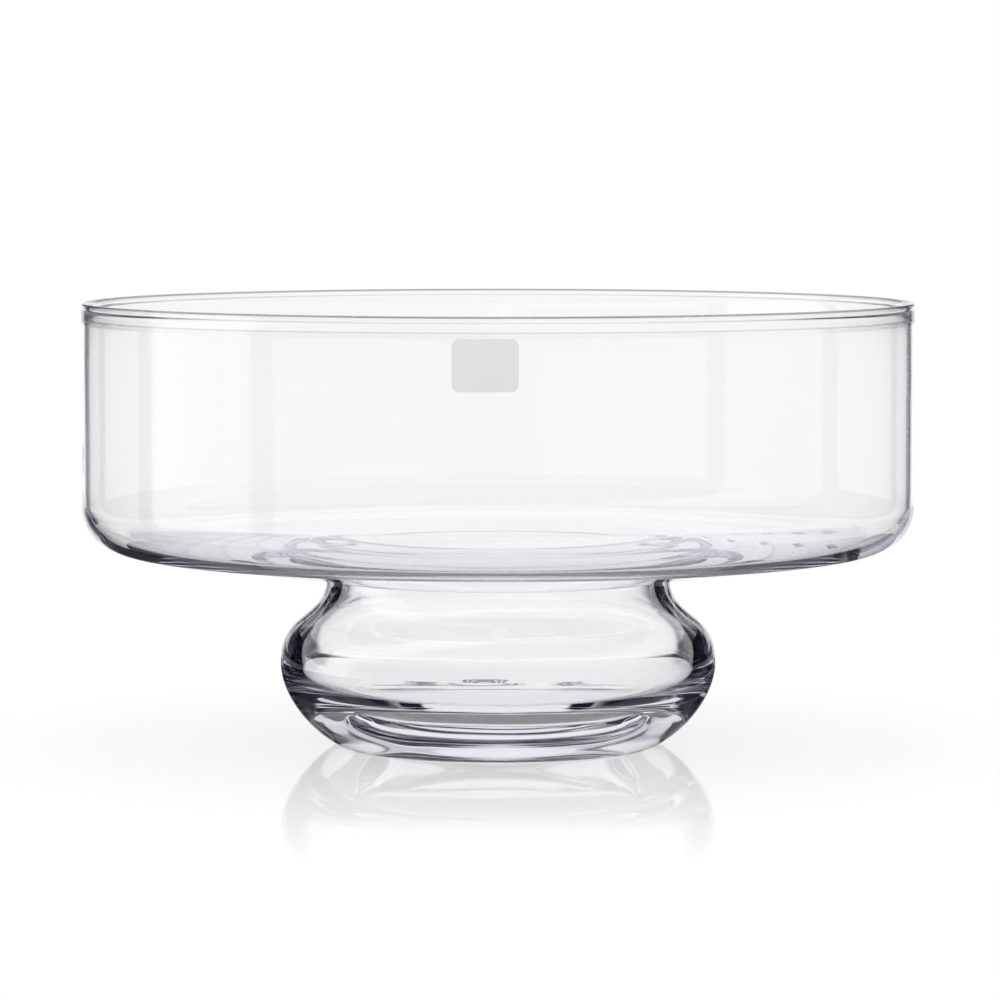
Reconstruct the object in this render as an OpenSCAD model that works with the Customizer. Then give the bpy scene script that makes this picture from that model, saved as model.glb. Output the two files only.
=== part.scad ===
// Footed glass trifle bowl: a straight-sided dish bonded to a hollow bulb foot.
// Millimetres, +Z up, front at -Y. The origin is on the table under the middle.

/* [Bowl] */
// Outside diameter of the straight wall
bowl_d = 253; // [228:1:278]
// Height of the bowl from its seat on the foot to the rim
bowl_h = 83.8; // [75:0.2:93]
// Thickness of the straight wall
wall_t = 1.6; // [1.4:0.1:2.2]
// Thickness of the floor at the centre, over the seat
floor_t = 9.9; // [8.8:0.1:11.5]
// Rise of the inside floor from the centre to its edge
floor_rise = 0.8; // [0.4:0.1:1.4]
// Thickness of the glass under the edge of the inside floor
corner_t = 2.2; // [1.8:0.1:2.8]
// Radius of the outside corner under the wall
outer_corner_r = 13.5; // [12:0.5:16]
// Radius of the inside corner between wall and floor
inner_corner_r = 12; // [10.5:0.5:13.5]
// Width of the flat seat that stands out past the neck of the foot
seat_margin = 0.5; // [0.3:0.1:1.5]

/* [Rim] */
// Diameter of the fire-polished bead
rim_t = 2.4; // [2.1:0.1:3]
// How far the bead stands out past the wall
rim_proud = 0.1; // [0.05:0.05:0.4]
// Height over which the bead runs into the wall
rim_blend = 1.6; // [1.2:0.1:2.4]

/* [Foot] */
// Height of the foot from the table to its bonded top
foot_h = 51; // [47:1:57]
// Outside diameter of the neck at the bonded top
neck_d = 104.8; // [100:0.4:110]
// Thickness of the neck at the bonded top
neck_t = 4.6; // [3.8:0.1:6]
// Outside diameter of the belly
belly_d = 133; // [127:0.2:138]
// Height of the widest part of the belly
belly_z = 25.4; // [23.5:0.1:27.5]
// Outside diameter of the ring that stands on the table
base_d = 96.2; // [92:0.2:101]
// Width of the ring that stands on the table
base_ring_w = 6; // [4:0.5:8]
// Height of the shallow hollow under the base
punt_h = 1.6; // [1:0.1:2.5]
// Thickness of the base from the table to the cavity floor
base_t = 11.5; // [10:0.1:13]
// Thickness of the wall at the widest part of the belly
belly_t = 6.3; // [5.2:0.1:7.6]
// Diameter of the flat part of the cavity floor
cavity_floor_d = 44; // [36:1:52]

/* [Bond] */
// Thickness of the clear bond between bowl and foot
bond_t = 0.3; // [0.2:0.05:0.6]
// How far the bond stays back from both edges of the neck
bond_setback = 0.4; // [0.2:0.1:1]

/* [Label] */
// Width of the label along the wall
label_w = 18.6; // [14:0.2:24]
// Height of the label
label_h = 14.8; // [11:0.1:17]
// Radius of the label's corners
label_r = 2; // [1:0.1:4]
// Thickness of the label film
label_t = 0.15; // [0.1:0.05:0.3]
// Sideways place of the label's middle, left of the front line being negative
label_x = -3.5; // [-12:0.5:12]
// Height from the label's top edge to the rim
label_drop = 6.2; // [5:0.1:30]

/* [Hidden] */
$fn = 144;

// Extra length of a cutting body past the face it cuts
overrun = 1;
// Straight pieces in each rounded stretch
arc_steps = 8;
curve_steps = 10;
// Half of the bead's turn that is left out where it joins the wall, in degrees
bead_open = 60;

bowl_r = bowl_d / 2;
inside_r = bowl_r - wall_t;
seat_z = foot_h + bond_t;
rim_z = seat_z + bowl_h;
neck_r = neck_d / 2;
neck_inside_r = neck_r - neck_t;
seat_r = neck_r + seat_margin;
belly_r = belly_d / 2;
base_r = base_d / 2;
punt_r = base_r - base_ring_w;
cavity_r = belly_r - belly_t;
cavity_floor_r = cavity_floor_d / 2;
label_z = rim_z - label_drop - label_h / 2;

// Handles of the foot's curves, as shares of the height and width each curve spans
shoulder_shares = [0.589, 0.5];
flank_shares = [0.441, 0.122];
toe_share = 0.43;
cavity_low_share = 0.645;
cavity_floor_share = 0.69;

function arc(centre, r, from, to, steps) =
    [for (i = [0:steps]) let (a = from + (to - from) * i / steps) centre + r * [cos(a), sin(a)]];

function curve_at(p, t) = let (u = 1 - t)
    u * u * u * p[0] + 3 * u * u * t * p[1] + 3 * u * t * t * p[2] + t * t * t * p[3];

function curve(p, steps) = [for (i = [0:steps]) curve_at(p, i / steps)];

function curve_heading(p, t) =
    let (u = 1 - t, v = u * u * (p[1] - p[0]) + 2 * u * t * (p[2] - p[1]) + t * t * (p[3] - p[2]))
        v / norm(v);

function left_of(v) = [-v.y, v.x];

function skip_first(points) = [for (i = [1:len(points) - 1]) points[i]];

// The underside runs straight from the edge of the seat to touch the corner's circle.
corner_at = [bowl_r - outer_corner_r, floor_t + floor_rise - corner_t + outer_corner_r];
corner_run = corner_at - [seat_r, 0];
underside_slope = atan2(corner_run.y, corner_run.x) - asin(outer_corner_r / norm(corner_run));

bead_at = [bowl_r + rim_proud - rim_t / 2, bowl_h - rim_t / 2];
floor_edge = [inside_r - inner_corner_r, floor_t + floor_rise];

function bowl_outline() = concat(
    [[0, 0], [seat_r, 0]],
    arc(corner_at, outer_corner_r, underside_slope - 90, 0, arc_steps),
    [[bowl_r, bead_at.y - rim_blend]],
    arc(bead_at, rim_t / 2, bead_open - 90, 270 - bead_open, 2 * arc_steps),
    [[inside_r, bead_at.y - rim_blend]],
    arc(floor_edge + [0, inner_corner_r], inner_corner_r, 0, -90, arc_steps),
    [for (i = [arc_steps - 1:-1:0]) let (s = i / arc_steps)
        [floor_edge.x * s, floor_t + floor_rise * s * s]]
);

shoulder_h = foot_h - belly_z;
cavity_low_h = belly_z - base_t;
cavity_floor_w = cavity_r - cavity_floor_r;

flank = [
    [base_r, 0],
    [base_r + (belly_r - base_r) * toe_share, belly_z * flank_shares[1]],
    [belly_r, belly_z * (1 - flank_shares[0])],
    [belly_r, belly_z]
];
shoulder = [
    [belly_r, belly_z],
    [belly_r, belly_z + shoulder_h * shoulder_shares[0]],
    [neck_r, foot_h - shoulder_h * shoulder_shares[1]],
    [neck_r, foot_h]
];
cavity_low = [
    [cavity_r, belly_z],
    [cavity_r, belly_z - cavity_low_h * cavity_low_share],
    [cavity_floor_r + cavity_floor_w * cavity_floor_share, base_t],
    [cavity_floor_r, base_t]
];

// The inside of the shoulder follows the outside, at a thickness that runs from the belly's to the neck's.
function shoulder_inside(t) =
    curve_at(shoulder, t) + (belly_t + (neck_t - belly_t) * t) * left_of(curve_heading(shoulder, t));

function foot_outside() = concat(
    curve(flank, curve_steps),
    skip_first(curve(shoulder, curve_steps))
);

function foot_cavity() = concat(
    [for (i = [curve_steps:-1:0]) shoulder_inside(i / curve_steps)],
    skip_first(curve(cavity_low, curve_steps)),
    [[0, base_t]]
);

function punt() = [for (i = [0:arc_steps]) let (s = i / arc_steps) [punt_r * s, punt_h * (1 - s * s)]];

function rounded_rectangle(w, h, r) = [
    for (q = [[1, 1, 0], [-1, 1, 90], [-1, -1, 180], [1, -1, 270]])
        each arc([q[0] * (w / 2 - r), q[1] * (h / 2 - r)], r, q[2], q[2] + 90, arc_steps)
];

module bowl() {
    color("ghostwhite", 0.45)
        translate([0, 0, seat_z])
            rotate_extrude()
                polygon(bowl_outline());
}

module foot() {
    color("lavender", 0.45)
        rotate_extrude()
            polygon(concat(punt(), foot_outside(), foot_cavity()));
}

module bond_ring() {
    color("aliceblue", 0.6)
        translate([0, 0, foot_h])
            difference() {
                cylinder(h = bond_t, r = neck_r - bond_setback);
                translate([0, 0, -overrun])
                    cylinder(h = bond_t + 2 * overrun, r = neck_inside_r + bond_setback);
            }
}

module label() {
    color("gainsboro", 0.8)
        translate([0, 0, label_z])
            intersection() {
                difference() {
                    cylinder(h = label_h + overrun, r = bowl_r + label_t, center = true);
                    cylinder(h = label_h + 2 * overrun, r = bowl_r, center = true);
                }
                translate([label_x, 0, 0])
                    rotate([90, 0, 0])
                        linear_extrude(bowl_r + label_t + overrun)
                            polygon(rounded_rectangle(label_w, label_h, label_r));
            }
}

bowl();
foot();
bond_ring();
label();
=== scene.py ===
import math

import bpy
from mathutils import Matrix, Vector


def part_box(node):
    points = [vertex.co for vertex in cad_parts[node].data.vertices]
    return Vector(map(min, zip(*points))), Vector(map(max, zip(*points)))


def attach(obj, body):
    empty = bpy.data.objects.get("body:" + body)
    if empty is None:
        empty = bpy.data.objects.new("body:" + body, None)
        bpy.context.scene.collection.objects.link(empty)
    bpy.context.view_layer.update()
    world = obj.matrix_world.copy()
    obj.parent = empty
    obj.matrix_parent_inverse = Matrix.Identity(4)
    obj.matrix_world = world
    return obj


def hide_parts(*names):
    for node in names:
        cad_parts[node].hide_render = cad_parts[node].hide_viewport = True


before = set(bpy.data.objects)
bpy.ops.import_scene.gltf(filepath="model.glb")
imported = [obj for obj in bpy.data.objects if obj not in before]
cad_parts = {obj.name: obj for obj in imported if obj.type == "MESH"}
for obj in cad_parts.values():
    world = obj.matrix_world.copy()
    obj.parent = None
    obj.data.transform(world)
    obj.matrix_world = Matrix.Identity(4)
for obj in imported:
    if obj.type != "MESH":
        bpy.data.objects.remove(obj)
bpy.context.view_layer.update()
mm = 0.001
print("frame loaded:", sorted(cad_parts))

samePoint = 1e-4  # mm, closer points of an outline are one
weld = 0.002  # mm, closes the seam and the poles of a turned piece
touch = 0.01  # mm, a face this near a level lies on it
smoothAngle = 40  # degrees, sharper edges stay crisp


# Small helpers for outlines, all in millimetres as (radius, height)
def arcPoints(centre, radius, start, end, steps):
    turn = [math.radians(start + (end - start) * i / steps) for i in range(steps + 1)]
    return [(centre[0] + radius * math.cos(a), centre[1] + radius * math.sin(a)) for a in turn]


def curvePoints(a, b, c, d, steps):
    points = []
    for i in range(steps + 1):
        t = i / steps
        w = ((1 - t) ** 3, 3 * t * (1 - t) ** 2, 3 * t * t * (1 - t), t ** 3)
        points.append(tuple(w[0] * a[k] + w[1] * b[k] + w[2] * c[k] + w[3] * d[k] for k in (0, 1)))
    return points


def linePoints(a, b, steps):
    return [tuple(a[k] + (b[k] - a[k]) * i / steps for k in (0, 1)) for i in range(steps + 1)]


def joinOutline(*stretches):
    outline = []
    for stretch in stretches:
        for point in stretch:
            if not outline or math.dist(point, outline[-1]) > samePoint:
                outline.append(point)
    return outline


# A run of points set to the left of another, at a depth that changes evenly along it
def insetPoints(points, first, last):
    inset = []
    for i, (x, z) in enumerate(points):
        before, after = points[max(i - 1, 0)], points[min(i + 1, len(points) - 1)]
        run = (after[0] - before[0], after[1] - before[1])
        depth = (first + (last - first) * i / (len(points) - 1)) / math.hypot(*run)
        inset.append((x - run[1] * depth, z + run[0] * depth))
    return inset


def nodeBox(node):
    low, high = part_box(node)
    return low / mm, high / mm


# How far a point is from the upright axis, and how high, in millimetres
def placeOf(point):
    return math.hypot(point.x, point.y) / mm, point.z / mm


# Turning on the lathe: one point is drawn along the outline, then spun round the upright axis
def turnPiece(name, outline, steps):
    bpy.ops.object.select_all(action="DESELECT")
    bpy.ops.mesh.primitive_plane_add(size=mm)
    piece = bpy.context.object
    piece.name = name
    piece.data.name = name
    bpy.ops.object.mode_set(mode="EDIT")
    bpy.ops.mesh.select_all(action="SELECT")
    bpy.ops.mesh.merge(type="CENTER")
    here = outline[0]
    bpy.ops.transform.translate(value=(here[0] * mm, 0, here[1] * mm))
    for point in outline[1:]:
        move = ((point[0] - here[0]) * mm, 0, (point[1] - here[1]) * mm)
        bpy.ops.mesh.extrude_vertices_move(TRANSFORM_OT_translate={"value": move})
        here = point
    bpy.ops.mesh.select_all(action="SELECT")
    bpy.ops.mesh.spin(steps=steps, angle=2 * math.pi, center=(0, 0, 0), axis=(0, 0, 1))
    bpy.ops.mesh.select_all(action="SELECT")
    bpy.ops.mesh.remove_doubles(threshold=weld * mm)
    bpy.ops.mesh.normals_make_consistent(inside=False)
    bpy.ops.object.mode_set(mode="OBJECT")
    return piece


def giveMaterials(piece, main, joined=None, isJoined=None):
    piece.data.materials.clear()
    piece.data.materials.append(main)
    if joined:
        piece.data.materials.append(joined)
        for face in piece.data.polygons:
            face.material_index = 1 if isJoined(face) else 0


def selectOnly(piece):
    bpy.ops.object.select_all(action="DESELECT")
    piece.select_set(True)
    bpy.context.view_layer.objects.active = piece


# Hand-made glass is never quite even: soft waves, as strong as reach says at each point
def unevenGlass(piece, flow, reach):
    group = piece.vertex_groups.new(name="uneven")
    for vertex in piece.data.vertices:
        weight = reach(vertex)
        if weight > 0:
            group.add([vertex.index], weight, "REPLACE")
    clouds = bpy.data.textures.new(piece.name + "Flow", "CLOUDS")
    clouds.noise_scale = flow["patch"] * mm
    clouds.noise_depth = 1
    selectOnly(piece)
    wave = piece.modifiers.new("uneven", "DISPLACE")
    wave.texture = clouds
    wave.texture_coords = "LOCAL"
    wave.strength = flow["depth"] * mm
    wave.mid_level = 0.5
    wave.vertex_group = "uneven"
    bpy.ops.object.modifier_apply(modifier=wave.name)


def smoothPiece(piece):
    selectOnly(piece)
    bpy.ops.object.shade_smooth_by_angle(angle=math.radians(smoothAngle))


# Nodes are laid out in rows, in the order they are made
nodeRows = {"count": 8, "width": 220, "height": 320}


def newNode(tree, kind, **settings):
    row, column = divmod(len(tree.nodes), nodeRows["count"])
    node = tree.nodes.new(kind)
    node.location = (column * nodeRows["width"], -row * nodeRows["height"])
    for key, value in settings.items():
        setattr(node, key, value)
    return node


# A socket takes a number, or the output of another node
def feed(tree, socket, value):
    if isinstance(value, (int, float)):
        socket.default_value = value
    else:
        tree.links.new(value, socket)


def mathNode(tree, kind, a, b):
    node = newNode(tree, "ShaderNodeMath", operation=kind)
    feed(tree, node.inputs[0], a)
    feed(tree, node.inputs[1], b)
    return node.outputs[0]


# Goes smoothly from low to high while the value passes between the two edges
def softStep(tree, value, edges, low, high):
    node = newNode(tree, "ShaderNodeMapRange", interpolation_type="SMOOTHSTEP")
    sockets = ("Value", "From Min", "From Max", "To Min", "To Max")
    for key, number in zip(sockets, (value, *edges, low, high)):
        feed(tree, node.inputs[key], number)
    return node.outputs[0]


def ramp(tree, stops):
    node = newNode(tree, "ShaderNodeValToRGB")
    while len(node.color_ramp.elements) < len(stops):
        node.color_ramp.elements.new(0.5)
    for element, (position, colour) in zip(node.color_ramp.elements, stops):
        element.position = position
        element.color = (*colour, 1)
    return node


def grey(level):
    return (level, level, level)


def startMaterial(name):
    material = bpy.data.materials.new(name)
    material.use_nodes = True
    tree = material.node_tree
    tree.nodes.clear()
    output = newNode(tree, "ShaderNodeOutputMaterial")
    where = newNode(tree, "ShaderNodeTexCoord")
    return material, tree, output, where.outputs["Object"]


# Painted shade: the top of the rim bead is darkened in its base colour, standing in for the dark of the
# room that it would reflect
def paintRimTopShade(tree, where, colour, finish):
    colourA, colourB, colourOut = 6, 7, 2  # the colour sockets of a Mix node
    height = newNode(tree, "ShaderNodeSeparateXYZ")
    # mask of the painted dark band, from the top of the rim down to the given depth
    rimShadeMask = newNode(tree, "ShaderNodeMapRange")
    rimShadeMask.inputs["From Min"].default_value = (finish["paintedShadeTop"] - finish["paintedShadeDepth"]) * mm
    rimShadeMask.inputs["From Max"].default_value = finish["paintedShadeTop"] * mm
    shade = ramp(tree, [(0.0, finish["clear"]), (finish["paintedShadeBlend"], finish["paintedShadeTint"])])
    both = newNode(tree, "ShaderNodeMix", data_type="RGBA", blend_type="MULTIPLY")
    both.inputs["Factor"].default_value = 1
    tree.links.new(where, height.inputs[0])
    tree.links.new(height.outputs["Z"], rimShadeMask.inputs["Value"])
    tree.links.new(rimShadeMask.outputs[0], shade.inputs["Fac"])
    tree.links.new(colour, both.inputs[colourA])
    tree.links.new(shade.outputs["Color"], both.inputs[colourB])
    return both.outputs[colourOut]


def blownGlass(name, finish):
    material, tree, output, where = startMaterial(name)
    link = tree.links.new
    shader = newNode(tree, "ShaderNodeBsdfPrincipled")
    shader.inputs["Transmission Weight"].default_value = 1
    shader.inputs["IOR"].default_value = finish["ior"]
    # faint cords in the glass, drawn out round the piece
    stretch = newNode(tree, "ShaderNodeMapping")
    stretch.inputs["Scale"].default_value = finish["cordScale"]
    cords = newNode(tree, "ShaderNodeTexNoise")
    cords.inputs["Scale"].default_value = 1
    cords.inputs["Detail"].default_value = finish["cordDetail"]
    bump = newNode(tree, "ShaderNodeBump")
    bump.inputs["Strength"].default_value = finish["cordStrength"]
    bump.inputs["Distance"].default_value = finish["cordDepth"] * mm
    link(where, stretch.inputs["Vector"])
    link(stretch.outputs["Vector"], cords.inputs["Vector"])
    link(cords.outputs["Fac"], bump.inputs["Height"])
    link(bump.outputs["Normal"], shader.inputs["Normal"])
    # tiny seeds only dull the polish a little
    seeds = newNode(tree, "ShaderNodeTexVoronoi")
    seeds.inputs["Scale"].default_value = finish["seedScale"]
    dull = ramp(tree, [(0.0, grey(finish["seedRough"])), (finish["seedSize"], grey(0))])
    link(where, seeds.inputs["Vector"])
    link(seeds.outputs["Distance"], dull.inputs["Fac"])
    link(dull.outputs["Color"], shader.inputs["Roughness"])
    # wiped smudges give a trace of tint
    smudge = newNode(tree, "ShaderNodeTexNoise")
    smudge.inputs["Scale"].default_value = finish["smudgeScale"]
    smudge.inputs["Detail"].default_value = finish["smudgeDetail"]
    tintFrom, tintTo = finish["smudgeEdges"]
    tint = ramp(tree, [(tintFrom, finish["tint"]), (tintTo, finish["clear"])])
    link(where, smudge.inputs["Vector"])
    link(smudge.outputs["Fac"], tint.inputs["Fac"])
    colour = tint.outputs["Color"]
    # the top of the rim bead gets a painted dark band, painted shade in place of a reflection
    if "paintedShadeTop" in finish:
        colour = paintRimTopShade(tree, where, colour, finish)
    link(colour, shader.inputs["Base Color"])
    link(shader.outputs["BSDF"], output.inputs["Surface"])
    # the tint of thick glass
    body = newNode(tree, "ShaderNodeVolumeAbsorption")
    body.inputs["Color"].default_value = (*finish["bodyColour"], 1)
    body.inputs["Density"].default_value = finish["bodyDensity"]
    link(body.outputs["Volume"], output.inputs["Volume"])
    return material


# Where two pieces are bonded there is no surface to see
def joinedFace(name):
    material, tree, output = startMaterial(name)[:3]
    through = newNode(tree, "ShaderNodeBsdfTransparent")
    tree.links.new(through.outputs["BSDF"], output.inputs["Surface"])
    return material


def labelFilm(name, finish):
    material, tree, output, where = startMaterial(name)
    link = tree.links.new
    shader = newNode(tree, "ShaderNodeBsdfPrincipled")
    shader.inputs["Transmission Weight"].default_value = finish["seeThrough"]
    shader.inputs["IOR"].default_value = finish["ior"]
    mottle = newNode(tree, "ShaderNodeTexNoise")
    mottle.inputs["Scale"].default_value = finish["mottleScale"]
    mottle.inputs["Detail"].default_value = finish["mottleDetail"]
    first, last = finish["mottleEdges"]
    colour = ramp(tree, [(first, finish["dark"]), (last, finish["pale"])])
    rough = ramp(tree, [(first, grey(finish["roughLow"])), (last, grey(finish["roughHigh"]))])
    bump = newNode(tree, "ShaderNodeBump")
    bump.inputs["Strength"].default_value = finish["grain"]
    bump.inputs["Distance"].default_value = finish["grainDepth"] * mm
    link(where, mottle.inputs["Vector"])
    link(mottle.outputs["Fac"], colour.inputs["Fac"])
    link(mottle.outputs["Fac"], rough.inputs["Fac"])
    link(mottle.outputs["Fac"], bump.inputs["Height"])
    link(colour.outputs["Color"], shader.inputs["Base Color"])
    link(rough.outputs["Color"], shader.inputs["Roughness"])
    link(bump.outputs["Normal"], shader.inputs["Normal"])
    link(shader.outputs["BSDF"], output.inputs["Surface"])
    return material


glassLook = {
    "ior": 1.5,
    "cordScale": (9, 9, 45),
    "cordDetail": 2,
    "cordStrength": 0.12,
    "cordDepth": 0.4,
    "seedScale": 55,
    "seedSize": 0.03,
    "seedRough": 0.3,
    "smudgeScale": 18,
    "smudgeDetail": 4,
    "smudgeEdges": (0.35, 0.7),
    "tint": (0.994, 0.994, 0.998),
    "clear": (1.0, 1.0, 1.0),
    "bodyColour": (0.82, 0.82, 0.9),
    "bodyDensity": 6,
}
# painted shade along the top of the rim bead: where it starts, how deep it reaches, where it blends and
# how dark it is
rimPaintedShade = {
    "paintedShadeTop": nodeBox("bowl")[1].z,
    "paintedShadeDepth": 0.8,
    "paintedShadeBlend": 0.45,
    "paintedShadeTint": (0.2, 0.2, 0.22),
}
footLook = dict(glassLook, cordScale=(14, 14, 40), cordStrength=0.2)
bondLook = dict(glassLook, cordScale=(60, 60, 60), cordStrength=0.3, bodyDensity=0)
bowlGlass = blownGlass("bowlGlass", {**glassLook, **rimPaintedShade})
footGlass = blownGlass("footGlass", footLook)
bondClear = blownGlass("bondClear", bondLook)
joined = joinedFace("joinedFace")
print("glass mixed")


bowlMake = {
    "wall": 1.6,
    "outerCorner": 13.5,
    "innerCorner": 12.0,
    "cornerThick": 2.2,
    "floor": 9.9,
    "floorRise": 0.8,
    "seatMargin": 0.5,
    "rimBead": 2.4,
    "rimProud": 0.1,
    "rimBlend": 1.6,
    "beadOpen": 60,
    "steps": 256,
    "facets": {"under": 12, "bond": 4, "margin": 2, "straight": 16, "corner": 24, "bead": 40, "floor": 30},
    "flow": {"patch": 60, "depth": 0.06, "fade": 15, "slack": 0.2, "margin": 1, "rimBeads": 3},
}
footMake = {
    "neck": 52.4,
    "neckWall": 4.6,
    "bellyHeight": 25.4,
    "bellyWall": 6.3,
    "base": 48.1,
    "baseRing": 6.0,
    "punt": 1.6,
    "baseThick": 11.5,
    "cavityFloor": 22.0,
    "shoulderShares": (0.589, 0.5),
    "flankShares": (0.441, 0.122),
    "toeShare": 0.43,
    "cavityLowShare": 0.645,
    "cavityFloorShare": 0.69,
    "steps": 224,
    "facets": {"punt": 16, "ring": 4, "bond": 4, "curve": 48, "floor": 12},
    "flow": {"patch": 30, "depth": 0.2, "fade": 8, "slack": 0.2, "margin": 0.5, "trueTop": 6},
}
bondMake = {
    "setback": 0.4,
    "skin": 0.02,
    "bulge": 0.12,
    "steps": 192,
    "facets": {"flat": 4, "edge": 8},
    "flatNormal": 0.9,
    "offMiddle": 0.1,
}
bondInner = footMake["neck"] - footMake["neckWall"] + bondMake["setback"]
bondOuter = footMake["neck"] - bondMake["setback"]


# Faces of the seat or of the foot's top that the bond covers
def bondedAt(level):
    def isBonded(face):
        across, up = placeOf(face.center)
        return abs(up - level) < touch and bondInner < across < bondOuter

    return isBonded


# Bowl: straight wall, beaded rim, flat inside floor, coned underside with the seat for the foot
def bowlOutline(make):
    low, high = nodeBox("bowl")
    facets = make["facets"]
    wall = high.x - make["rimProud"]
    inside = wall - make["wall"]
    seat = footMake["neck"] + make["seatMargin"]
    cornerLift = make["floor"] + make["floorRise"] - make["cornerThick"] + make["outerCorner"]
    corner = (wall - make["outerCorner"], low.z + cornerLift)
    run = (corner[0] - seat, corner[1] - low.z)
    slope = math.degrees(math.atan2(run[1], run[0]) - math.asin(make["outerCorner"] / math.hypot(*run)))
    beadRadius = make["rimBead"] / 2
    bead = (wall + make["rimProud"] - beadRadius, high.z - beadRadius)
    blend = bead[1] - make["rimBlend"]
    floorEdge = (inside - make["innerCorner"], low.z + make["floor"] + make["floorRise"])
    within = (floorEdge[0], floorEdge[1] + make["innerCorner"])
    under = arcPoints(corner, make["outerCorner"], slope - 90, 0, facets["corner"])
    shares = [i / facets["floor"] for i in range(facets["floor"], -1, -1)]
    return joinOutline(
        linePoints((0, low.z), (bondInner, low.z), facets["under"]),
        linePoints((bondInner, low.z), (bondOuter, low.z), facets["bond"]),
        linePoints((bondOuter, low.z), (seat, low.z), facets["margin"]),
        linePoints((seat, low.z), under[0], facets["straight"]),
        under,
        linePoints((wall, corner[1]), (wall, blend), facets["straight"]),
        arcPoints(bead, beadRadius, make["beadOpen"] - 90, 270 - make["beadOpen"], facets["bead"]),
        linePoints((inside, blend), (inside, within[1]), facets["straight"]),
        arcPoints(within, make["innerCorner"], 0, -90, facets["corner"]),
        [(floorEdge[0] * s, low.z + make["floor"] + make["floorRise"] * s * s) for s in shares],
    )


def makeBowl(make):
    low, high = nodeBox("bowl")
    flow = make["flow"]
    bowl = turnPiece("trifleBowl", bowlOutline(make), make["steps"])
    insideWall = high.x - make["rimProud"] - make["wall"]
    clearOfRim = high.z - flow["rimBeads"] * make["rimBead"]

    # the inside is uneven, and runs true towards the rim
    def reach(vertex):
        across, up = placeOf(vertex.co)
        onInside = across < insideWall + flow["slack"] and up > low.z + make["floor"] - flow["margin"]
        if not onInside:
            return 0
        return min(1, max(0, 1 + (clearOfRim - up) / flow["fade"]))

    unevenGlass(bowl, flow, reach)
    giveMaterials(bowl, bowlGlass, joined, bondedAt(low.z))
    smoothPiece(bowl)
    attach(bowl, "root")
    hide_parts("bowl")
    return bowl


# Foot: hollow squat bulb with a heavy base
def footOutline(make):
    low, high = nodeBox("foot")
    facets = make["facets"]
    belly, top = high.x, high.z
    neck, base, waist = make["neck"], make["base"], make["bellyHeight"]
    cavity, cavityFloor, baseThick = belly - make["bellyWall"], make["cavityFloor"], make["baseThick"]
    rise, sink = top - waist, waist - baseThick
    puntEdge = base - make["baseRing"]
    puntShares = [i / facets["punt"] for i in range(facets["punt"] + 1)]
    flank = curvePoints(
        (base, low.z),
        (base + (belly - base) * make["toeShare"], low.z + waist * make["flankShares"][1]),
        (belly, low.z + waist * (1 - make["flankShares"][0])),
        (belly, low.z + waist), facets["curve"])
    shoulder = curvePoints(
        (belly, low.z + waist),
        (belly, low.z + waist + rise * make["shoulderShares"][0]),
        (neck, top - rise * make["shoulderShares"][1]),
        (neck, top), facets["curve"])
    cavityLow = curvePoints(
        (cavity, low.z + waist),
        (cavity, low.z + waist - sink * make["cavityLowShare"]),
        (cavityFloor + (cavity - cavityFloor) * make["cavityFloorShare"], baseThick),
        (cavityFloor, baseThick), facets["curve"])
    return joinOutline(
        [(puntEdge * s, low.z + make["punt"] * (1 - s ** 2)) for s in puntShares],
        linePoints((puntEdge, low.z), (base, low.z), facets["ring"]),
        flank,
        shoulder,
        [(neck, top), (bondOuter, top)],
        linePoints((bondOuter, top), (bondInner, top), facets["bond"]),
        insetPoints(shoulder, make["bellyWall"], make["neckWall"])[::-1],
        cavityLow,
        linePoints((cavityFloor, baseThick), (0, baseThick), facets["floor"]),
    )


def makeFoot(make):
    high = nodeBox("foot")[1]
    flow = make["flow"]
    foot = turnPiece("bulbFoot", footOutline(make), make["steps"])
    cavity = high.x - make["bellyWall"]

    # the cavity and the shoulder are uneven, and the neck runs true towards the bond
    def reach(vertex):
        across, up = placeOf(vertex.co)
        bottom, top = make["baseThick"] - flow["margin"], high.z - flow["margin"]
        inCavity = across < cavity + flow["slack"] and bottom < up < top
        if not inCavity or across > make["neck"] and up > high.z - flow["trueTop"]:
            return 0
        return min(1, (high.z - up) / flow["fade"])

    unevenGlass(foot, flow, reach)
    giveMaterials(foot, footGlass, joined, bondedAt(high.z))
    smoothPiece(foot)
    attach(foot, "root")
    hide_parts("foot")
    return foot


# Bond: a thin clear ring with rounded edges between the foot and the seat
def makeBond(make):
    low, high = nodeBox("bond_ring")
    facets, bulge = make["facets"], make["bulge"]
    bottom, top = low.z + make["skin"], high.z - make["skin"]
    middle = (bottom + top) / 2
    outline = joinOutline(
        linePoints((bondInner, bottom), (bondOuter, bottom), facets["flat"]),
        curvePoints((bondOuter, bottom), (bondOuter + bulge, bottom),
                    (bondOuter + bulge, top), (bondOuter, top), facets["edge"]),
        linePoints((bondOuter, top), (bondInner, top), facets["flat"]),
        curvePoints((bondInner, top), (bondInner - bulge, top),
                    (bondInner - bulge, bottom), (bondInner, bottom), facets["edge"]),
    )
    bond = turnPiece("clearBond", outline, make["steps"])

    def onFlat(face):
        offMiddle = abs(face.center.z / mm - middle)
        return abs(face.normal.z) > make["flatNormal"] and offMiddle > make["offMiddle"]

    giveMaterials(bond, bondClear, joined, onFlat)
    smoothPiece(bond)
    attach(bond, "root")
    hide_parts("bond_ring")
    return bond


# Label: a blank film, cut with round corners and laid on the wall
labelMake = {"corner": 2.0, "cornerSteps": 8, "thick": 0.13, "gap": 0.02, "columns": 36, "startAhead": 10}
labelLook = {
    "seeThrough": 0.75,
    "ior": 1.35,
    "mottleScale": 420,
    "mottleDetail": 5,
    "mottleEdges": (0.3, 0.7),
    "dark": (0.97, 0.972, 0.985),
    "pale": (0.99, 0.99, 0.995),
    "roughLow": 0.35,
    "roughHigh": 0.55,
    "grain": 0.2,
    "grainDepth": 0.05,
}


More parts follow.
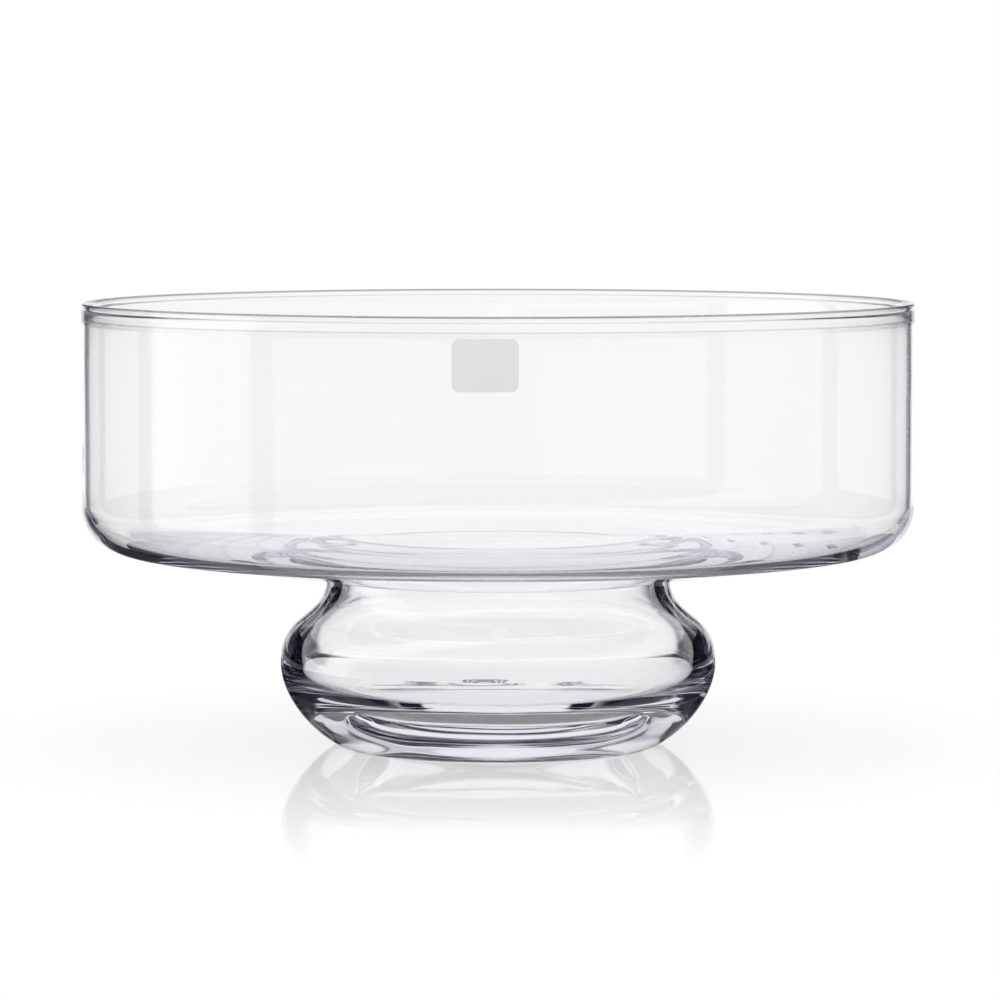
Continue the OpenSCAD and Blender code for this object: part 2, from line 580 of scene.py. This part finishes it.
def makeLabel(make, wallPiece):
    low, high = nodeBox("label")
    width, height = high.x - low.x, high.z - low.z
    middle = ((low.x + high.x) / 2, (low.z + high.z) / 2)
    front = low.y - make["startAhead"]
    bpy.ops.object.select_all(action="DESELECT")
    bpy.ops.mesh.primitive_plane_add(size=1)
    label = bpy.context.object
    label.name = "blankLabel"
    label.data.name = "blankLabel"
    bpy.ops.object.mode_set(mode="EDIT")
    bpy.ops.mesh.select_all(action="SELECT")
    bpy.ops.transform.resize(value=(width * mm, height * mm, 1))
    bpy.ops.mesh.bevel(affect="VERTICES", offset=make["corner"] * mm,
                       segments=make["cornerSteps"], profile=0.5)
    for i in range(1, make["columns"]):
        across = -width / 2 + width * i / make["columns"]
        bpy.ops.mesh.select_all(action="SELECT")
        bpy.ops.mesh.bisect(plane_co=(across * mm, 0, 0), plane_no=(1, 0, 0))
    bpy.ops.mesh.select_all(action="SELECT")
    bpy.ops.transform.rotate(value=-math.pi / 2, orient_axis="X", center_override=(0, 0, 0))
    bpy.ops.transform.translate(value=(middle[0] * mm, front * mm, middle[1] * mm))
    bpy.ops.object.mode_set(mode="OBJECT")
    lay = label.modifiers.new("lay", "SHRINKWRAP")
    lay.target = wallPiece
    lay.wrap_method = "PROJECT"
    lay.use_project_x = False
    lay.use_project_y = True
    lay.use_project_z = False
    lay.use_positive_direction = True
    lay.use_negative_direction = False
    lay.wrap_mode = "ABOVE_SURFACE"
    lay.offset = make["gap"] * mm
    bpy.ops.object.modifier_apply(modifier=lay.name)
    film = label.modifiers.new("film", "SOLIDIFY")
    film.thickness = make["thick"] * mm
    film.offset = 1
    bpy.ops.object.modifier_apply(modifier=film.name)
    giveMaterials(label, labelFilm("labelFilm", labelLook))
    smoothPiece(label)
    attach(label, "root")
    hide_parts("label")
    return label


bowl = makeBowl(bowlMake)
print("bowl turned:", len(bowl.data.polygons), "faces")
foot = makeFoot(footMake)
print("foot turned:", len(foot.data.polygons), "faces")
bond = makeBond(bondMake)
print("bond turned:", len(bond.data.polygons), "faces")
label = makeLabel(labelMake, bowl)
print("label laid:", len(label.data.polygons), "faces")


# Counts of glass faces crossed and of bounces are parted halfway between whole numbers
half = 0.5
crossings = {"none": 0 + half, "oneWall": 2 + half, "twoWalls": 4 + half}


# Floor: a pale disc with a little gloss round the foot, and a dark table that only shows inside the glass
floorMake = {
    "radius": 300.0,
    "sides": 96,
    "drop": 0.05,
    "paint": 0.25,
    "lift": 0.83,
    "gloss": 0.35,
    "glossFrom": 45,
    "glossTo": 330,
    "rough": 0.03,
    "tableColour": (0.012, 0.011, 0.024),
    "tableOpen": (0.88, 0.94),
    "tableOneWall": 185,
    "tableTwoWalls": 80,
    "tableFar": 142,
    "farCrossings": 4,
    "farBackwards": (-0.55, -0.4),
    "farLow": (0.2, 0.3),
}


def floorPaint(make):
    material, tree, output, where = startMaterial("paleFloor")
    link = tree.links.new
    path = newNode(tree, "ShaderNodeLightPath").outputs
    depth = path["Transmission Depth"]

    def calc(kind, a, b):
        return mathNode(tree, kind, a, b)

    spread = newNode(tree, "ShaderNodeVectorMath", operation="LENGTH")
    split = newNode(tree, "ShaderNodeSeparateXYZ")
    link(where, spread.inputs[0])
    link(where, split.inputs[0])
    away, back = spread.outputs["Value"], split.outputs["Y"]
    # white in the picture, in the glass and in mirrors, and still shaded by the bowl
    white = newNode(tree, "ShaderNodeBsdfDiffuse")
    white.inputs["Color"].default_value = (*grey(make["paint"]), 1)
    lift = newNode(tree, "ShaderNodeEmission")
    lift.inputs["Color"].default_value = (1, 1, 1, 1)
    seen = calc("ADD", path["Is Camera Ray"], path["Is Transmission Ray"])
    seen = calc("MINIMUM", calc("ADD", seen, path["Is Glossy Ray"]), 1)
    link(calc("MULTIPLY", seen, make["lift"]), lift.inputs["Strength"])
    pale = newNode(tree, "ShaderNodeAddShader")
    link(white.outputs[0], pale.inputs[0])
    link(lift.outputs[0], pale.inputs[1])
    # light bounced in the glass meets the dark table, nearer in the more walls it has crossed
    dark = calc("LESS_THAN", depth, crossings["none"])
    for walls, reach in (("oneWall", make["tableOneWall"]), ("twoWalls", make["tableTwoWalls"])):
        shallow = calc("LESS_THAN", depth, crossings[walls])
        inside = calc("LESS_THAN", away, reach * mm)
        dark = calc("MAXIMUM", dark, calc("MULTIPLY", shallow, inside))
    bounced = calc("GREATER_THAN", path["Glossy Depth"], half)
    dark = calc("MULTIPLY", dark, bounced)
    # light that only crossed the foot meets it farther out, where it runs low and backwards
    crossed = calc("COMPARE", depth, make["farCrossings"])
    crossed.node.inputs[2].default_value = half
    near = calc("LESS_THAN", away, make["tableFar"] * mm)
    far = calc("GREATER_THAN", calc("SUBTRACT", crossed, calc("ADD", bounced, near)), half)
    heading = newNode(tree, "ShaderNodeSeparateXYZ")
    link(newNode(tree, "ShaderNodeNewGeometry").outputs["Incoming"], heading.inputs[0])
    for axis, limits in (("Y", make["farBackwards"]), ("Z", make["farLow"])):
        far = calc("MULTIPLY", far, softStep(tree, heading.outputs[axis], limits, 1, 0))
    dark = calc("MAXIMUM", dark, far)
    # and the table gives way to white straight behind
    beside = softStep(tree, calc("DIVIDE", back, away), make["tableOpen"], 1, 0)
    table = newNode(tree, "ShaderNodeBsdfDiffuse")
    table.inputs["Color"].default_value = (*make["tableColour"], 1)
    flagged = newNode(tree, "ShaderNodeMixShader")
    link(calc("MULTIPLY", dark, beside), flagged.inputs[0])
    link(pale.outputs[0], flagged.inputs[1])
    link(table.outputs[0], flagged.inputs[2])
    # the polish fades away from the foot
    mirror = newNode(tree, "ShaderNodeBsdfGlossy")
    mirror.inputs["Roughness"].default_value = make["rough"]
    shine = softStep(tree, away, (make["glossFrom"] * mm, make["glossTo"] * mm), make["gloss"], 0)
    mix = newNode(tree, "ShaderNodeMixShader")
    link(shine, mix.inputs[0])
    link(flagged.outputs[0], mix.inputs[1])
    link(mirror.outputs[0], mix.inputs[2])
    link(mix.outputs[0], output.inputs["Surface"])
    return material


bpy.ops.object.select_all(action="DESELECT")
bpy.ops.mesh.primitive_circle_add(vertices=floorMake["sides"], radius=floorMake["radius"] * mm,
                                  fill_type="NGON", location=(0, 0, -floorMake["drop"] * mm))
floor = bpy.context.object
floor.name = "studioFloor"
floor.data.materials.append(floorPaint(floorMake))
print("floor laid")


# Cards: a low dark ring round the foot that only light bounced inside the glass meets
cardMake = {
    "radius": 142.0,
    "sides": 96,
    "height": 46.0,
    "backOpen": (0.68, 0.76),
    "sideOpen": (0.945, 0.965),
    "colour": (0.008, 0.007, 0.018),
}


def cardPaint(make):
    material, tree, output, where = startMaterial("darkCards")
    link = tree.links.new
    path = newNode(tree, "ShaderNodeLightPath").outputs
    split = newNode(tree, "ShaderNodeSeparateXYZ")
    link(where, split.inputs[0])

    def calc(kind, a, b):
        return mathNode(tree, kind, a, b)

    # the ring is open towards the back sweep and the window on the left
    def shutter(reach, shares):
        return softStep(tree, reach, [share * make["radius"] * mm for share in shares], 1, 0)

    back = shutter(split.outputs["Y"], make["backOpen"])
    side = shutter(calc("MULTIPLY", split.outputs["X"], -1), make["sideOpen"])
    bounced = calc("GREATER_THAN", path["Glossy Depth"], half)
    shallow = calc("LESS_THAN", path["Transmission Depth"], crossings["oneWall"])
    met = calc("MULTIPLY", calc("MULTIPLY", back, side), calc("MULTIPLY", bounced, shallow))
    clear = newNode(tree, "ShaderNodeBsdfTransparent")
    dark = newNode(tree, "ShaderNodeBsdfDiffuse")
    dark.inputs["Color"].default_value = (*make["colour"], 1)
    mix = newNode(tree, "ShaderNodeMixShader")
    link(met, mix.inputs[0])
    link(clear.outputs[0], mix.inputs[1])
    link(dark.outputs[0], mix.inputs[2])
    link(mix.outputs[0], output.inputs["Surface"])
    return material


bpy.ops.object.select_all(action="DESELECT")
bpy.ops.mesh.primitive_cylinder_add(vertices=cardMake["sides"], radius=cardMake["radius"] * mm,
                                    depth=cardMake["height"] * mm, end_fill_type="NOTHING",
                                    location=(0, 0, cardMake["height"] / 2 * mm))
cards = bpy.context.object
cards.name = "darkCards"
cards.data.materials.append(cardPaint(cardMake))
cards.visible_camera = False
cards.visible_diffuse = False
cards.visible_glossy = False
cards.visible_shadow = False
print("cards placed")


# Studio: a white room with a bright sweep behind, a window on the left and dark flags between them.
# Edges are shares of straight ahead for the panels, and of straight up for heights.
studio = {
    "dim": 0.3,
    "room": 0.6,
    "sweep": (0.966, 0.978),
    "farRoom": (0.52, 0.62),
    "overhead": (0.28, 0.42),
    "lid": 0.8,
    "under": (-0.19, -0.14),
    "walls": (-0.1, 0.5),
    "ahead": (0.85, 0.95),
    "edgeFrom": (0.89, 0.90),
    "edgeTo": (0.938, 0.948),
    "rising": (-0.045, -0.03),
    "panel": (0.925, 0.965),
    "panelTop": (0.02, 0.1),
    "straight": (0.975, 0.99),
    "behind": (-0.1, 0.15),
    "sky": (0.28, 0.4),
    "skyGlow": 0.4,
    "stripFrom": (-0.13, -0.1),
    "stripTo": (-0.055, -0.03),
    "shades": [(0.0, (0.006, 0.005, 0.014)), (0.5, (0.5, 0.5, 0.56)), (1.0, (1, 1, 1))],
}


def lightStudio(make):
    world = bpy.data.worlds.new("studio")
    bpy.context.scene.world = world
    world.use_nodes = True
    tree = world.node_tree
    tree.nodes.clear()
    link = tree.links.new
    output = newNode(tree, "ShaderNodeOutputWorld")
    light = newNode(tree, "ShaderNodeBackground")
    way = newNode(tree, "ShaderNodeTexCoord")
    split = newNode(tree, "ShaderNodeSeparateXYZ")
    path = newNode(tree, "ShaderNodeLightPath").outputs
    link(way.outputs["Generated"], split.inputs[0])

    def calc(kind, a, b):
        return mathNode(tree, kind, a, b)

    def step(value, edges, low, high):
        return softStep(tree, value, make[edges], low, high)

    def choose(flag, yes, no):
        node = newNode(tree, "ShaderNodeMix", data_type="FLOAT")
        for socket, value in zip((node.inputs[0], node.inputs[2], node.inputs[3]), (flag, no, yes)):
            feed(tree, socket, value)
        return node.outputs[0]

    x, y, z = split.outputs
    flat = calc("SQRT", calc("ADD", calc("MULTIPLY", x, x), calc("MULTIPLY", y, y)), 0)
    # 1 straight at the sweep or at the window, and less beside them
    facing = calc("DIVIDE", calc("MAXIMUM", y, calc("MULTIPLY", x, -1)), flat)
    # light that only passed through sees the sweep and the far room, under a lid
    bright = calc("ADD", step(facing, "sweep", 0, 1), step(facing, "farRoom", make["room"], 0))
    once = calc("LESS_THAN", path["Transmission Depth"], crossings["oneWall"])
    lid = calc("MAXIMUM", step(z, "overhead", 1, 0), calc("MULTIPLY", once, make["lid"]))
    through = calc("MAXIMUM", calc("MULTIPLY", bright, lid), step(z, "under", 1, 0))
    # light bounced in the glass sees the walls up to the table's line, with a thin dark edge by each panel
    shallow = calc("LESS_THAN", path["Transmission Depth"], crossings["twoWalls"])
    rising = calc("MULTIPLY", step(z, "rising", 0, 1), shallow)
    walls = calc("MULTIPLY", step(facing, "walls", make["room"], 1), calc("SUBTRACT", 1, rising))
    edge = calc("MULTIPLY", step(facing, "edgeFrom", 0, 1), step(facing, "edgeTo", 1, 0))
    edge = calc("SUBTRACT", 1, calc("MULTIPLY", edge, shallow))
    within = calc("MULTIPLY", calc("MAXIMUM", walls, step(facing, "ahead", 0, 1)), edge)
    # light mirrored off the outside sees the panels low down, and a dim room, sky and strip
    panels = calc("MULTIPLY", step(facing, "panel", 0, 1), step(z, "panelTop", 1, 0))
    panels = calc("MAXIMUM", panels, step(facing, "straight", 0, 1))
    behind = step(facing, "behind", make["dim"], 0)
    sky = step(z, "sky", 0, make["skyGlow"])
    strip = calc("MULTIPLY", step(z, "stripFrom", 0, make["dim"]), step(z, "stripTo", 1, 0))
    mirrored = calc("MAXIMUM", calc("MAXIMUM", panels, behind), calc("MAXIMUM", sky, strip))
    # the floor and the picture itself see plain white
    bounced = calc("GREATER_THAN", path["Glossy Depth"], half)
    onFloor = calc("GREATER_THAN", path["Diffuse Depth"], half)
    level = choose(path["Is Glossy Ray"], mirrored, 1)
    level = choose(path["Is Transmission Ray"], choose(bounced, within, through), level)
    level = choose(onFloor, 1, level)
    level = choose(path["Is Camera Ray"], 1, level)
    # the shaded parts of the room lean to lavender
    shade = ramp(tree, make["shades"])
    link(level, shade.inputs["Fac"])
    link(shade.outputs["Color"], light.inputs["Color"])
    link(light.outputs[0], output.inputs["Surface"])


lightStudio(studio)
bounces = {"glass": 96, "joined": 48}  # light goes to and fro many times in the thick base
scene = bpy.context.scene
scene.view_settings.view_transform = "Standard"
scene.cycles.max_bounces = bounces["glass"]
scene.cycles.transmission_bounces = bounces["glass"]
scene.cycles.glossy_bounces = bounces["glass"]
scene.cycles.transparent_max_bounces = bounces["joined"]
print("studio lit")


# Camera: a long lens a little above the rim, as the bowl was photographed
cameraMake = {
    "away": 1450.0,
    "height": 184.2,
    "aim": 74.5,
    "side": 0.6,
    "sensor": 36.0,
    "pixels": 4763.0,
    "frame": 1000.0,
}
lens = bpy.data.cameras.new("photoCamera")
camera = bpy.data.objects.new("photoCamera", lens)
scene.collection.objects.link(camera)
lens.sensor_width = cameraMake["sensor"]
lens.lens = cameraMake["sensor"] * cameraMake["pixels"] / cameraMake["frame"]
eye = Vector((cameraMake["side"], -cameraMake["away"], cameraMake["height"])) * mm
target = Vector((cameraMake["side"], 0, cameraMake["aim"])) * mm
camera.location = eye
camera.rotation_euler = (target - eye).to_track_quat("-Z", "Y").to_euler()
scene.camera = camera
print("camera set")
